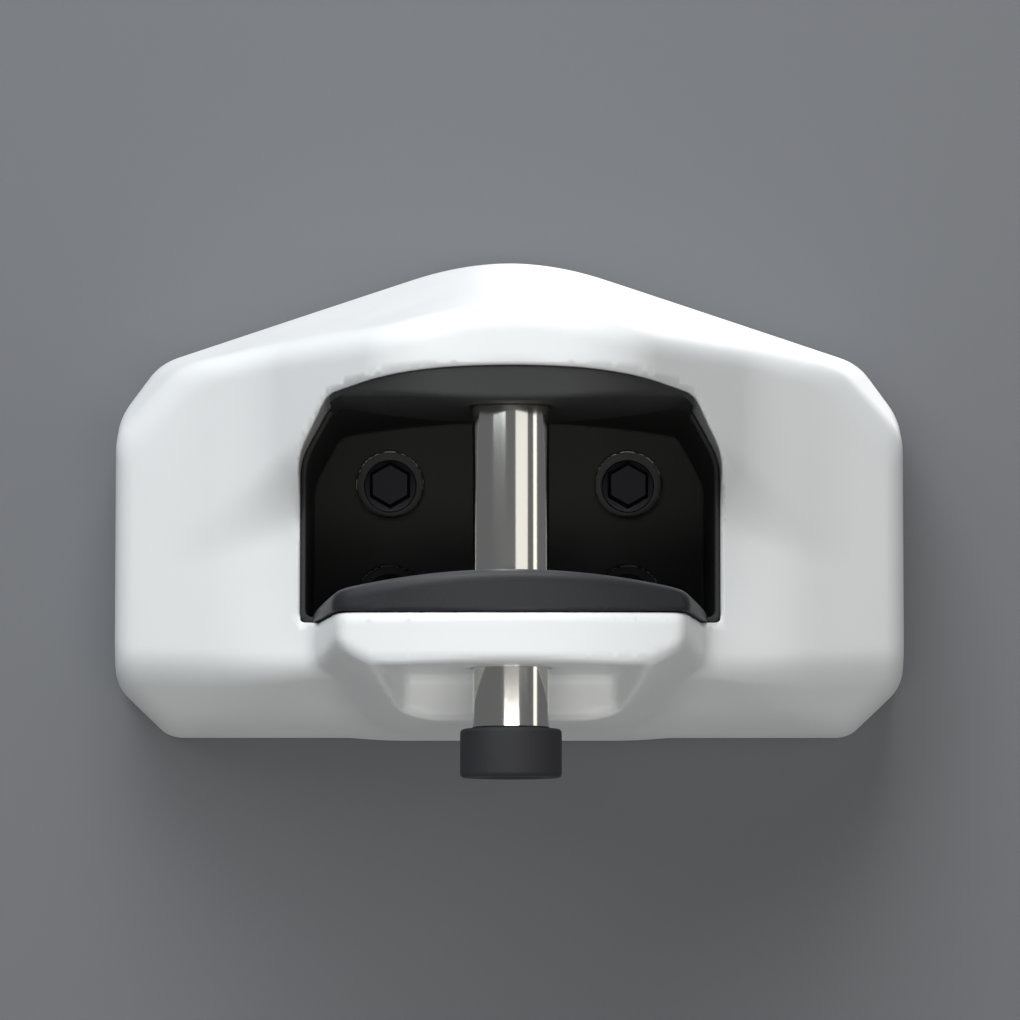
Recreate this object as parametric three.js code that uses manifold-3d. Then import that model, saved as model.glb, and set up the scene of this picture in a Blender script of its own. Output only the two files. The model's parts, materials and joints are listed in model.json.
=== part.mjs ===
// A locking wall rack for one bicycle, in millimetres.
// X runs along the wall, Z is up, and Y points into the wall: a place's "depth" is its distance from the
// wall, so Y = -depth. The origin is the middle of the wall face, level with the middle of the bolt pattern.
// A white moulded cover hides a steel back plate with two brackets. A polished pin slides up through the
// lower bracket's collar and into the upper bracket's socket, and closes the gap that the tube lies in.
import * as THREE from "three";
import { ConvexGeometry } from "three/addons/geometries/ConvexGeometry.js";
import { mergeVertices } from "three/addons/utils/BufferGeometryUtils.js";
import Module from "manifold-3d";

const wasm = await Module();
wasm.setup();

// ---- Driving dimensions ----

const GAP = 0.3; // between pieces that touch
const BEYOND = 40; // how far a cutting shape runs past what it cuts
const OVERLAP = 1; // how far joined or cutting shapes run into each other

// The cover's outline on the wall
const HALF_WIDTH = 163;
const TOP = 117;
const CROWN_HALF = 19; // half of the short flat top between the two roof slopes
const SHOULDER = { x: 146.5, z: 74 }; // where each roof slope ends
const SIDE_TOP = 51.5;
const SIDE_BOTTOM = -62;
const CORNER_X = 142.5;
const BOTTOM = -82;

// The cover's depths
const WALL = 4; // thickness of the moulding
const RIM_DEPTH = 30; // the straight rim before the chamfers begin
const WING_DEPTH = 124; // wing front beside the opening
const WING_BEND = { x: 105, depth: 114 };
const SIDE_DEPTH = 60; // wing front at the outer edges
const CHAMFER = 20;

// Plans of the hood's and the lip's fronts as [x, depth], with corners that turn back into flanks
const NOSE_DEPTH = 217;
const HOOD_FRONT = [[0, 217], [15, 216.7], [29, 215.6], [38, 213.4], [43, 210], [48, 203]];
const LIP_FRONT = [[0, 217], [18, 216], [34, 213.2], [48, 209], [60, 204], [67, 199.5], [71, 193]];
const LIP_FLANK_END = [75, 166];
const LIP_ROOT = [80, 118];
const HOOD_FLANK_END = [104, 116];
const HOOD_RIM = 75; // top edge of the hood's front
const FAIRING_Z = 5; // the hood's flanks fade into the wings at this height
const LIP_BOTTOM = -62;
const KEEL_HALF = 42; // the lip narrows to this below
const KEEL_DEPTH = 150;
const KEEL_BOTTOM = -83;
const KEEL_BACK_HALF = 75;

// The opening between the hood and the lip
const OPENING_HALF = 84;
const ARCH_TOP = 52.4;
const ARCH_DROP = 6;
const ARCH_HALF = 70;
const ARCH_END = 26; // where the rounded upper corners meet the straight sides
const FLOOR = -43; // top of the white lip, under the rubber
const FLOOR_RISE = 2;
const RECESS_BACK = 12;
const POCKET_FRONT_HALF = 55; // the pocket under the lip widens from KEEL_HALF to this at the front
const POCKET_ROOF = LIP_BOTTOM - 1;
const BOSS_R = 6.5;
const BOSS_DEPTH = 88; // the screw bosses run out to the wings' front wall
const PILOT_R = 2.6;
const PILOT_DEPTH = 30;

// The black mouldings and the rubber
const LINER_FOOT = 39; // lowest edge of the hood's liner, in the middle
const LINER_TAPER = 0.94; // share of its thickness that the liner loses towards its ends
const LINER_SETBACK = 2; // the liner's front edge behind the hood's
const TRAY_WALL = 2;
const PAD_RIDGE = -26.3;
const PAD_VALLEY = -32;
const PAD_FALL = { drop: 5.6, half: 61 }; // how far the ridge has fallen at this distance from the middle
const PAD_SIDE_GAP = 0.2;

// The pin and its lock
const PIN_DEPTH = 185;
const PIN_R = 15;
const PIN_BORE_R = 10.3;
const PIN_TOP = 62;
const PIN_BOTTOM = -86.2;
const CAP_R = 19.75;
const CAP_BOTTOM = -105.5;
const BALL_R = 3.5;
const BALL_Z = -52.5;
const BALL_REST = 11.1; // from the pin's axis to the ball's middle, unlocked
const BALL_TRAVEL = 2.5; // how far the cam pushes each ball in a quarter turn
const CAM_GAP = 0.6;
const RUNNING = 0.5; // round the pin in the collar
const NOSE_PLUG_LENGTH = 8; // how far the nose reaches down into the tube
const NOSE_CHAMFER = 3;
const CAP_CHAMFER = { foot: 1.8, head: 1, bore: 1.6 };
const PLUG_R = 7;
const PLUG_TOP = -76;
const KEY_SLOT = { half: 4.2, thickness: 1.6, depth: 6 };
const BARREL_BORE_R = 7.3;
const BARREL_TOP = -74;
const SHAFT_R = 3.5;
const CAM_HALF = 4.5; // half of the cam's height
const CLIP = { inner: 3.8, outer: 9.6, z: [-73.4, -71.9], mouthHalf: 2.6 };

// The steel inside
const PLATE_INSET = 7;
const PLATE = 4;
const BOLT_X = 50;
const BOLT_Z = 24;
const BOLT_ACCESS_R = 14;
const SCREW_PLACES = [[125, 35], [-125, 35], [125, -40], [-125, -40]];
const ARM_HALF = 27;
const UPPER_ARM = [57, 63];
const LOWER_ARM = [-57.5, -47.5];
const WEB = 5;
const WEB_INSIDE = 22; // from the middle to each web's inner side
const SOCKET_R = 23;
const SOCKET_ROOF = 70.5;
const SOCKET_ROOF_THICKNESS = 2.5;
const WELL_R = PIN_R + 2.8; // the socket's well, which the bush lines
const BUSH_BORE_R = PIN_R + 0.4;
const COLLAR_R = 22;
const GROOVE_SPARE = 0.9; // beyond the balls when they are out
const GROOVE_SIDE = 0.2;
const SEAL_R = PIN_R + 2.6;
const SEAT_R = PIN_R + 3;
const UPPER_WEB = { toe: 158, toeTop: 66, head: 98 };
const LOWER_WEB = { toe: 140, foot: -76, footToe: 138 };
const WINDOW = { x: [81, 111], z: [-40, 44] }; // openings in the plate that save weight
const BOLT_HOLE_R = 5.5;
const SCREW_HOLE_R = 5;
const WASHER = { outer: 11, bore: 5.3, thickness: 2 };
const BOLT = { head: 9.8, height: 6.4, shank: 4.9, start: 0.5 };
const SCREW = { head: 4.6, headDepth: [0.5, 3.2], shank: 2.2, shankDepth: [3, 24] };

// ---- Materials ----

const satinWhite = material(0xe9ebec, 0.42, 0);
const moulding = material(0x1d1f20, 0.6, 0);
const rubber = material(0x26282b, 0.85, 0);
const polished = material(0xd9d6cc, 0.14, 1);
const zincPlated = material(0x9a9da0, 0.38, 1);
const blackZinc = material(0x17181a, 0.45, 1);
const blackSteel = material(0x3a3c3f, 0.5, 0.9);
const hardened = material(0x6f7276, 0.3, 1);
const brass = material(0xb08d4a, 0.32, 1);
const capBlack = material(0x17181a, 0.5, 0);

function material(color, roughness, metalness) {
  return new THREE.MeshStandardMaterial({ color, roughness, metalness });
}

// ---- Solids: three.js makes every shape, and manifold-3d only joins and cuts ----

function solid(geometry) {
  const bare = geometry.clone();
  bare.deleteAttribute("normal");
  bare.deleteAttribute("uv");
  const merged = mergeVertices(bare, 1e-4);
  const mesh = new wasm.Mesh({
    numProp: 3,
    vertProperties: new Float32Array(merged.attributes.position.array),
    triVerts: new Uint32Array(merged.index.array),
  });
  return new wasm.Manifold(mesh);
}

function join(first, ...others) {
  return others.reduce((whole, other) => whole.add(other), first);
}

function cut(first, ...others) {
  return others.reduce((whole, other) => whole.subtract(other), first);
}

const rack = new THREE.Group();

function addPiece(name, shape, finish) {
  const made = shape.getMesh();
  const geometry = new THREE.BufferGeometry();
  geometry.setAttribute("position", new THREE.BufferAttribute(made.vertProperties, 3));
  geometry.setIndex(new THREE.BufferAttribute(made.triVerts, 1));
  geometry.computeVertexNormals();
  const mesh = new THREE.Mesh(geometry, finish);
  mesh.name = name;
  rack.add(mesh);
}

// ---- Basic shapes, placed by depth ----

function place(x, depth, z) {
  return new THREE.Vector3(x, -depth, z);
}

function block([x0, x1], [depth0, depth1], [z0, z1]) {
  const box = new THREE.BoxGeometry(x1 - x0, depth1 - depth0, z1 - z0);
  const middle = place((x0 + x1) / 2, (depth0 + depth1) / 2, (z0 + z1) / 2);
  return solid(box.translate(middle.x, middle.y, middle.z));
}

// A round bar that stands upright on the pin's axis.
function upright(radius, [z0, z1], sides = 32) {
  const bar = new THREE.CylinderGeometry(radius, radius, z1 - z0, sides).rotateX(Math.PI / 2);
  return solid(bar.translate(0, -PIN_DEPTH, (z0 + z1) / 2));
}

// A round bar that points out of the wall.
function outward(radius, x, z, [depth0, depth1], sides = 24) {
  const bar = new THREE.CylinderGeometry(radius, radius, depth1 - depth0, sides);
  return solid(bar.translate(x, -(depth0 + depth1) / 2, z));
}

// A turned piece on the pin's axis; its profile is a closed loop of [radius, z].
function turned(profile, sides = 32) {
  const points = profile.map(([radius, z]) => new THREE.Vector2(radius, z));
  const shape = new THREE.LatheGeometry(points, sides).rotateX(Math.PI / 2);
  return solid(shape.translate(0, -PIN_DEPTH, 0));
}

function ring(inner, outer, [z0, z1], sides = 32) {
  return turned([[inner, z0], [outer, z0], [outer, z1], [inner, z1], [inner, z0]], sides);
}

function outlineOf(points) {
  return new THREE.Shape(points.map(([a, b]) => new THREE.Vector2(a, b)));
}

// An outline of [x, z] pushed out of the wall from depth0 to depth1.
function frontPrism(points, [depth0, depth1]) {
  const settings = { depth: depth1 - depth0, bevelEnabled: false };
  const prism = new THREE.ExtrudeGeometry(outlineOf(points), settings);
  return solid(prism.translate(0, 0, depth0).rotateX(Math.PI / 2));
}

// A plan outline of [x, depth] raised from z0 to z1.
function planPrism(points, [z0, z1]) {
  const plan = outlineOf(points.map(([x, depth]) => [x, -depth]));
  const prism = new THREE.ExtrudeGeometry(plan, { depth: z1 - z0, bevelEnabled: false });
  return solid(prism.translate(0, 0, z0));
}

// A side outline of [depth, z] drawn along the wall from x0 to x1.
function sidePrism(points, [x0, x1]) {
  const side = outlineOf(points.map(([depth, z]) => [-depth, z]));
  const prism = new THREE.ExtrudeGeometry(side, { depth: x1 - x0, bevelEnabled: false });
  const turn = new THREE.Matrix4().makeBasis(
    new THREE.Vector3(0, 1, 0),
    new THREE.Vector3(0, 0, 1),
    new THREE.Vector3(1, 0, 0),
  );
  return solid(prism.translate(0, 0, x0).applyMatrix4(turn));
}

// The smallest convex solid round a right-hand list of [x, depth, z] and its mirror image.
function mirroredHull(points) {
  const both = points.flatMap(([x, depth, z]) => [place(x, depth, z), place(-x, depth, z)]);
  return solid(new ConvexGeometry(both));
}

function steps(count) {
  return Array.from({ length: count + 1 }, (_, index) => index / count);
}

// ---- The cover's envelope ----

// The right half of the outline on the wall, from the crown down to the bottom, moved in by inset.
function wallOutline(inset) {
  const corner = inset * Math.tan(Math.PI / 8);
  const slope = (TOP - SHOULDER.z) / (SHOULDER.x - CROWN_HALF);
  return [
    [CROWN_HALF - inset * slope / 2, TOP - inset],
    [SHOULDER.x - inset * slope * 2, SHOULDER.z - inset],
    [HALF_WIDTH - inset, SIDE_TOP - corner],
    [HALF_WIDTH - inset, SIDE_BOTTOM + corner],
    [CORNER_X - corner, BOTTOM + inset],
  ];
}

function bothSides(rightHalf) {
  return [...rightHalf, ...rightHalf.map(([x, z]) => [-x, z]).reverse()];
}

function wings(inset, backDepth) {
  const outline = wallOutline(inset);
  const rim = outline.map(([x, z]) => [x, RIM_DEPTH - inset / 2, z]);
  const back = outline.map(([x, z]) => [x, backDepth, z]);
  const bendX = WING_BEND.x - inset / 2;
  const outerX = HALF_WIDTH - inset;
  const footX = CORNER_X - inset / 2;
  const top = (x) => roofAt(x) - CHAMFER - inset;
  const foot = SIDE_BOTTOM + inset;
  const slope = (WING_BEND.depth - SIDE_DEPTH) / (HALF_WIDTH - WING_BEND.x);
  const shoulderDepth = SIDE_DEPTH + (HALF_WIDTH - SHOULDER.x) * slope - inset;
  const front = [
    [OPENING_HALF, WING_DEPTH - inset, top(OPENING_HALF)],
    [OPENING_HALF, WING_DEPTH - inset, foot],
    [bendX, WING_BEND.depth - inset, top(bendX)],
    [bendX, WING_BEND.depth - inset, foot],
    [SHOULDER.x, shoulderDepth, top(SHOULDER.x)],
    [outerX, SIDE_DEPTH - inset, SIDE_TOP - CHAMFER],
    [outerX, SIDE_DEPTH - inset, foot + CHAMFER / 3],
    [footX, shoulderDepth, foot],
  ];
  return mirroredHull([...back, ...rim, ...front]);
}

// A right-hand plan of [x, depth], from the middle out to the side, moved in by inset.
function insetPlan(points, inset) {
  return points.map(([x, depth], index) => {
    const [beforeX, beforeDepth] = points[Math.max(index - 1, 0)];
    const [afterX, afterDepth] = points[Math.min(index + 1, points.length - 1)];
    const along = new THREE.Vector2(afterX - beforeX, afterDepth - beforeDepth).normalize();
    const inward = index === 0 ? [0, -1] : [along.y, -along.x];
    return [x + inward[0] * inset, depth + inward[1] * inset];
  });
}

const hoodPlan = (inset) => insetPlan([...HOOD_FRONT, HOOD_FLANK_END], inset);
const lipPlan = (inset) => insetPlan([...LIP_FRONT, LIP_FLANK_END, LIP_ROOT], inset);

function roofAt(x) {
  return TOP - (x - CROWN_HALF) * (TOP - SHOULDER.z) / (SHOULDER.x - CROWN_HALF);
}

function hood(inset) {
  const plan = hoodPlan(inset);
  const front = plan.slice(0, -1);
  const [endX, endDepth] = plan.at(-1);
  const under = ARCH_TOP - ARCH_DROP * 2;
  return mirroredHull([
    ...front.map(([x, depth]) => [x, depth, HOOD_RIM - inset]),
    ...front.map(([x, depth]) => [x, depth, under]),
    [endX, endDepth, roofAt(endX) - CHAMFER - inset],
    [endX, endDepth, FAIRING_Z],
    [endX, RIM_DEPTH, roofAt(endX) - inset * 1.1],
    [endX, RIM_DEPTH, FAIRING_Z],
    [CROWN_HALF - inset / 4, RIM_DEPTH - inset / 2, TOP - inset],
  ]);
}

function lip(inset, backDepth) {
  const plan = lipPlan(inset);
  return mirroredHull([
    ...plan.map(([x, depth]) => [x, depth, FLOOR + FLOOR_RISE]),
    ...plan.map(([x, depth]) => [x, depth, LIP_BOTTOM + inset]),
    [KEEL_HALF, KEEL_DEPTH - inset, KEEL_BOTTOM + inset],
    [KEEL_BACK_HALF, RIM_DEPTH, BOTTOM + inset],
    [KEEL_BACK_HALF, backDepth, BOTTOM + inset],
    [KEEL_BACK_HALF, backDepth, LIP_BOTTOM + inset],
  ]);
}

// The opening seen from the front, as a closed outline that is moved in by inset.
function openingOutline(inset) {
  const archAt = (x) => ARCH_TOP - ARCH_DROP * (x / ARCH_HALF) ** 2 - inset;
  const side = OPENING_HALF - inset;
  const arch = steps(6).map((part) => [part * ARCH_HALF, archAt(part * ARCH_HALF)]);
  const cornerCurve = new THREE.QuadraticBezierCurve(
    new THREE.Vector2(ARCH_HALF, archAt(ARCH_HALF)),
    new THREE.Vector2(side - 2, archAt(ARCH_HALF) - 3),
    new THREE.Vector2(side, ARCH_END),
  );
  const corner = cornerCurve.getPoints(5).slice(1).map((point) => [point.x, point.y]);
  const floor = steps(4).reverse().map((part) => [part * side, FLOOR + FLOOR_RISE * part ** 2 + inset]);
  const right = [...arch, ...corner, ...floor];
  const left = right.slice(1, -1).map(([x, z]) => [-x, z]).reverse();
  return [...right, ...left];
}

function opening(inset, backDepth) {
  return frontPrism(openingOutline(inset), [backDepth, NOSE_DEPTH + BEYOND]);
}

// The pocket in the lip's underside, round the pin.
function pocket(growth) {
  const backHalf = KEEL_HALF + growth;
  const frontHalf = POCKET_FRONT_HALF + growth;
  const back = KEEL_DEPTH - growth;
  const front = NOSE_DEPTH + BEYOND;
  const spread = (front - back) / (NOSE_DEPTH - back);
  const farHalf = backHalf + (frontHalf - backHalf) * spread;
  const plan = [[-backHalf, back], [backHalf, back], [farHalf, front], [-farHalf, front]];
  return planPrism(plan, [KEEL_BOTTOM - BEYOND, POCKET_ROOF + growth]);
}

// ---- Pieces that don't move ----

function makeCover() {
  const outside = join(wings(0, 0.5), hood(0), lip(0, 0.5));
  const inside = join(wings(WALL, -BEYOND), hood(WALL), lip(WALL, -BEYOND));
  const hollow = cut(inside, opening(-WALL, RECESS_BACK - WALL), pocket(WALL));
  const shell = cut(outside, opening(0, RECESS_BACK), pocket(0), hollow);
  const bosses = SCREW_PLACES.map(([x, z]) => outward(BOSS_R, x, z, [PLATE + GAP * 2, BOSS_DEPTH]));
  const pilotHoles = SCREW_PLACES.map(([x, z]) => outward(PILOT_R, x, z, [0, PILOT_DEPTH]));
  const boltAccess = boltPlaces().map(([x, z]) => outward(BOLT_ACCESS_R, x, z, [0, RECESS_BACK + OVERLAP]));
  const pinHole = upright(PIN_R + RUNNING + GAP, [KEEL_BOTTOM, LOWER_ARM[0]]);
  const sealSeat = upright(SEAT_R, [FLOOR - WALL - OVERLAP, FLOOR + OVERLAP]);
  const hoodHole = upright(SOCKET_R + RUNNING, [ARCH_TOP - OVERLAP, UPPER_ARM[0] + OVERLAP]);
  const drilled = cut(join(shell, ...bosses), ...pilotHoles, ...boltAccess, pinHole, sealSeat, hoodHole);
  addPiece("cover_shell", drilled, satinWhite);
}

// The black moulding under the hood: its front edge is the dark band behind the arch.
function makeHoodLiner() {
  const thickness = ARCH_TOP - LINER_FOOT;
  const reach = steps(8).map((part) => part * ARCH_HALF);
  const archAt = (x) => ARCH_TOP - ARCH_DROP * (x / ARCH_HALF) ** 2 - GAP;
  const underAt = (x) => archAt(x) - thickness * (1 - LINER_TAPER * (x / ARCH_HALF) ** 2);
  const right = [...reach.map((x) => [x, archAt(x)]), ...reach.reverse().map((x) => [x, underAt(x)])];
  const left = right.slice(1, -1).map(([x, z]) => [-x, z]).reverse();
  const band = frontPrism([...right, ...left], [WING_DEPTH, NOSE_DEPTH]);
  const recessed = planPrism(closedPlan(hoodPlan(LINER_SETBACK), WING_DEPTH), [0, HOOD_RIM]);
  const shape = band.intersect(recessed);
  addPiece("hood_liner", cut(shape, upright(PIN_R + RUNNING, [0, HOOD_RIM])), moulding);
}

function closedPlan(plan, backDepth) {
  const right = plan.filter(([, depth]) => depth > backDepth);
  const left = right.slice(1).map(([x, depth]) => [-x, depth]).reverse();
  const endX = plan.at(-1)[0];
  return [...left, ...right, [endX, backDepth], [-endX, backDepth]];
}

// The black tray that lines the recess behind the bicycle's tube.
function makeCavityLiner() {
  const tray = frontPrism(openingOutline(GAP), [RECESS_BACK + GAP, WING_DEPTH - GAP]);
  const floor = RECESS_BACK + GAP + TRAY_WALL;
  const room = frontPrism(openingOutline(GAP + TRAY_WALL), [floor, WING_DEPTH + BEYOND]);
  const boltAccess = boltPlaces().map(([x, z]) => outward(BOLT_ACCESS_R, x, z, [0, floor + OVERLAP]));
  addPiece("cavity_liner", cut(tray, room, ...boltAccess), moulding);
}

// The rubber on the lip: a ridge at the front, and a valley that the bicycle's tube lies in.
function makeCradlePad() {
  const low = FLOOR - WALL;
  const back = WING_DEPTH + GAP;
  const front = NOSE_DEPTH - PAD_SIDE_GAP;
  const profile = [
    [back, low], [back, -28.5], [132, -30.6], [141, -31.7], [150, PAD_VALLEY], [164, PAD_VALLEY + 0.6],
    [178, -29.6], [192, -27.2], [204, PAD_RIDGE], [212, -26.8], [front, -30], [front, low],
  ];
  const half = LIP_ROOT[0];
  const along = sidePrism(profile, [-half, half]);
  const span = steps(8).map((part) => part * half);
  const crown = span.map((x) => [x, PAD_RIDGE + GAP - PAD_FALL.drop * (x / PAD_FALL.half) ** 2]);
  const seat = span.reverse().map((x) => [x, FLOOR + FLOOR_RISE * (x / OPENING_HALF) ** 2 + GAP]);
  const right = [...crown, ...seat];
  const left = right.slice(1, -1).map(([x, z]) => [-x, z]).reverse();
  const across = frontPrism([...right, ...left], [WING_DEPTH, NOSE_DEPTH]);
  const plan = planPrism(closedPlan(lipPlan(PAD_SIDE_GAP), WING_DEPTH), [low, 0]);
  const shape = along.intersect(across).intersect(plan);
  addPiece("cradle_pad", cut(shape, upright(PIN_R + RUNNING, [low, 0])), rubber);
}

function boltPlaces() {
  return [[-BOLT_X, BOLT_Z], [BOLT_X, BOLT_Z], [-BOLT_X, -BOLT_Z], [BOLT_X, -BOLT_Z]];
}

function makeBackPlate() {
  const plate = frontPrism(bothSides(wallOutline(PLATE_INSET)), [0, PLATE]);
  const through = [-OVERLAP, PLATE + OVERLAP];
  const boltHoles = boltPlaces().map(([x, z]) => outward(BOLT_HOLE_R, x, z, through));
  const screwHoles = SCREW_PLACES.map(([x, z]) => outward(SCREW_HOLE_R, x, z, through));
  const windows = [-1, 1].map((side) => {
    const span = WINDOW.x.map((x) => side * x).sort((a, b) => a - b);
    return block(span, through, WINDOW.z);
  });
  addPiece("back_plate", cut(plate, ...boltHoles, ...screwHoles, ...windows), blackSteel);
}

// A flat bar from the plate to the pin, with a round end and a hole for the ring that is welded into it.
function armBar([z0, z1], ringRadius) {
  const end = steps(12).map((part) => {
    const angle = part * Math.PI;
    return [ARM_HALF * Math.cos(angle), PIN_DEPTH + ARM_HALF * Math.sin(angle)];
  });
  const root = PLATE + GAP;
  const plan = [[-ARM_HALF, root], [ARM_HALF, root], ...end];
  return cut(planPrism(plan, [z0, z1]), upright(ringRadius + GAP, [z0 - OVERLAP, z1 + OVERLAP]));
}

function makeBrackets() {
  addPiece("upper_arm", armBar(UPPER_ARM, SOCKET_R), blackSteel);
  addPiece("lower_arm", armBar(LOWER_ARM, COLLAR_R), blackSteel);
  const root = PLATE + GAP;
  const upperFoot = UPPER_ARM[1] + GAP;
  const lowerHead = LOWER_ARM[0] - GAP;
  const { toe, toeTop, head } = UPPER_WEB;
  const upperWeb = [[root, upperFoot], [toe, upperFoot], [toe, toeTop], [RIM_DEPTH, head], [root, head]];
  const { foot, footToe } = LOWER_WEB;
  const lowerWeb = [[root, lowerHead], [root, foot], [footToe, foot], [LOWER_WEB.toe, lowerHead]];
  for (const [side, sign] of [["left", -1], ["right", 1]]) {
    const ends = [sign * WEB_INSIDE, sign * (WEB_INSIDE + WEB)].sort((a, b) => a - b);
    addPiece(`upper_web_${side}`, sidePrism(upperWeb, ends), blackSteel);
    addPiece(`lower_web_${side}`, sidePrism(lowerWeb, ends), blackSteel);
  }
}

function makeSocketAndCollar() {
  const foot = UPPER_ARM[0];
  const innerRoof = SOCKET_ROOF - SOCKET_ROOF_THICKNESS;
  const socket = [
    [0, innerRoof], [WELL_R, innerRoof], [WELL_R, foot],
    [SOCKET_R, foot], [SOCKET_R, SOCKET_ROOF], [0, SOCKET_ROOF],
  ];
  addPiece("upper_socket", turned(socket), hardened);
  addPiece("socket_bush", ring(BUSH_BORE_R, WELL_R - GAP, [foot + GAP, innerRoof - GAP]), moulding);
  const bore = PIN_R + RUNNING;
  const [z0, z1] = LOWER_ARM;
  const grooveR = BALL_REST + BALL_TRAVEL + BALL_R + GROOVE_SPARE;
  const grooveHalf = BALL_R + GROOVE_SIDE;
  const collar = [
    [bore, z0], [COLLAR_R, z0], [COLLAR_R, z1], [bore, z1], [bore, BALL_Z + grooveHalf],
    [grooveR, BALL_Z + grooveHalf], [grooveR, BALL_Z - grooveHalf], [bore, BALL_Z - grooveHalf], [bore, z0],
  ];
  addPiece("lower_collar", turned(collar), hardened);
  addPiece("collar_seal", ring(PIN_R + GAP, SEAL_R, [z1 + GAP, FLOOR]), rubber);
}

function makeFasteners() {
  const washer = [PLATE + GAP, PLATE + GAP + WASHER.thickness];
  const head = [washer[1] + GAP, washer[1] + GAP + BOLT.height];
  const shank = [BOLT.start, head[0] + OVERLAP];
  boltPlaces().forEach(([x, z], index) => {
    const bolt = join(outward(BOLT.head, x, z, head, 6), outward(BOLT.shank, x, z, shank));
    const disc = cut(outward(WASHER.outer, x, z, washer), outward(WASHER.bore, x, z, [0, head[1]]));
    addPiece(`wall_bolt_${index + 1}`, bolt, blackZinc);
    addPiece(`bolt_washer_${index + 1}`, disc, blackZinc);
  });
  SCREW_PLACES.forEach(([x, z], index) => {
    const screw = join(
      outward(SCREW.head, x, z, SCREW.headDepth, 16),
      outward(SCREW.shank, x, z, SCREW.shankDepth, 12),
    );
    addPiece(`cover_screw_${index + 1}`, screw, zincPlated);
  });
}

// ---- The pin and its lock ----

function makePin() {
  const tube = ring(PIN_BORE_R, PIN_R, [PIN_BOTTOM, PIN_TOP], 48);
  const across = new THREE.CylinderGeometry(BALL_R + GAP, BALL_R + GAP, PIN_R * 4, 24).rotateZ(Math.PI / 2);
  const ballHoles = solid(across.translate(0, -PIN_DEPTH, BALL_Z));
  addPiece("pin_tube", cut(tube, ballHoles), polished);
  const spigot = PIN_BORE_R - GAP;
  const noseR = PIN_R - 0.2;
  const noseFoot = PIN_TOP - NOSE_PLUG_LENGTH;
  const noseTop = PIN_TOP + NOSE_CHAMFER * 1.5;
  const nose = [
    [0, noseFoot], [spigot, noseFoot], [spigot, PIN_TOP + GAP], [noseR, PIN_TOP + GAP],
    [noseR, noseTop - NOSE_CHAMFER], [noseR - NOSE_CHAMFER, noseTop], [0, noseTop],
  ];
  addPiece("pin_nose", turned(nose), hardened);
  const capTop = PIN_BOTTOM - GAP;
  const capBore = PIN_BORE_R + 0.1;
  const { foot, head, bore } = CAP_CHAMFER;
  const cap = [
    [capBore, CAP_BOTTOM + head], [capBore + bore, CAP_BOTTOM], [CAP_R - foot, CAP_BOTTOM],
    [CAP_R, CAP_BOTTOM + foot], [CAP_R, capTop - head], [CAP_R - head, capTop],
    [capBore, capTop], [capBore, CAP_BOTTOM + head],
  ];
  addPiece("lock_cap", turned(cap), capBlack);
  const barrel = ring(BARREL_BORE_R, PIN_BORE_R - GAP, [CAP_BOTTOM + 1.5, BARREL_TOP]);
  addPiece("lock_barrel", barrel, zincPlated);
}

// The cam seen along the pin: it is low towards the balls at rest, and high after a quarter turn.
function camOutline() {
  const low = BALL_REST - BALL_R - CAM_GAP;
  const count = 36;
  return steps(count).slice(0, -1).map((part) => {
    const angle = part * 2 * Math.PI;
    const share = Math.asin(Math.abs(Math.sin(angle))) / (Math.PI / 2);
    const radius = low + BALL_TRAVEL * share;
    return [radius * Math.cos(angle), PIN_DEPTH + radius * Math.sin(angle)];
  });
}

function makeLock() {
  const plug = upright(PLUG_R, [CAP_BOTTOM + 2, PLUG_TOP]);
  const { half, thickness, depth } = KEY_SLOT;
  const slotSpan = [PIN_DEPTH - thickness / 2, PIN_DEPTH + thickness / 2];
  const keySlot = block([-half, half], slotSpan, [CAP_BOTTOM, PLUG_TOP - depth]);
  addPiece("key_plug", cut(plug, keySlot), brass);
  const camBottom = BALL_Z - CAM_HALF;
  const shaft = upright(SHAFT_R, [PLUG_TOP + GAP, camBottom + OVERLAP], 20);
  addPiece("cam_shaft", join(shaft, planPrism(camOutline(), [camBottom, BALL_Z + CAM_HALF])), hardened);
  const { inner, outer, z, mouthHalf } = CLIP;
  const mouthHeights = [z[0] - OVERLAP, z[1] + OVERLAP];
  const clipMouth = block([-mouthHalf, mouthHalf], [PIN_DEPTH, PIN_DEPTH + outer + OVERLAP], mouthHeights);
  addPiece("plug_clip", cut(ring(inner, outer, z, 24), clipMouth), blackSteel);
  for (const [side, sign] of [["left", -1], ["right", 1]]) {
    const ball = new THREE.SphereGeometry(BALL_R, 16, 12);
    addPiece(`locking_ball_${side}`, solid(ball.translate(sign * BALL_REST, -PIN_DEPTH, BALL_Z)), hardened);
  }
}

makeCover();
makeHoodLiner();
makeCavityLiner();
makeCradlePad();
makeBackPlate();
makeBrackets();
makeSocketAndCollar();
makeFasteners();
makePin();
makeLock();

export default rack;
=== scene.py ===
"""A locking wall rack for one bicycle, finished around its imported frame.

The white cover, the black mouldings and the rubber are made here as smooth surfaces in the places that the
frame gives, and the pin, its cap and the fasteners as turned pieces. The plates, brackets and lock parts stay
as they are in the frame and get their finishes.
"""

import json
import math

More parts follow.
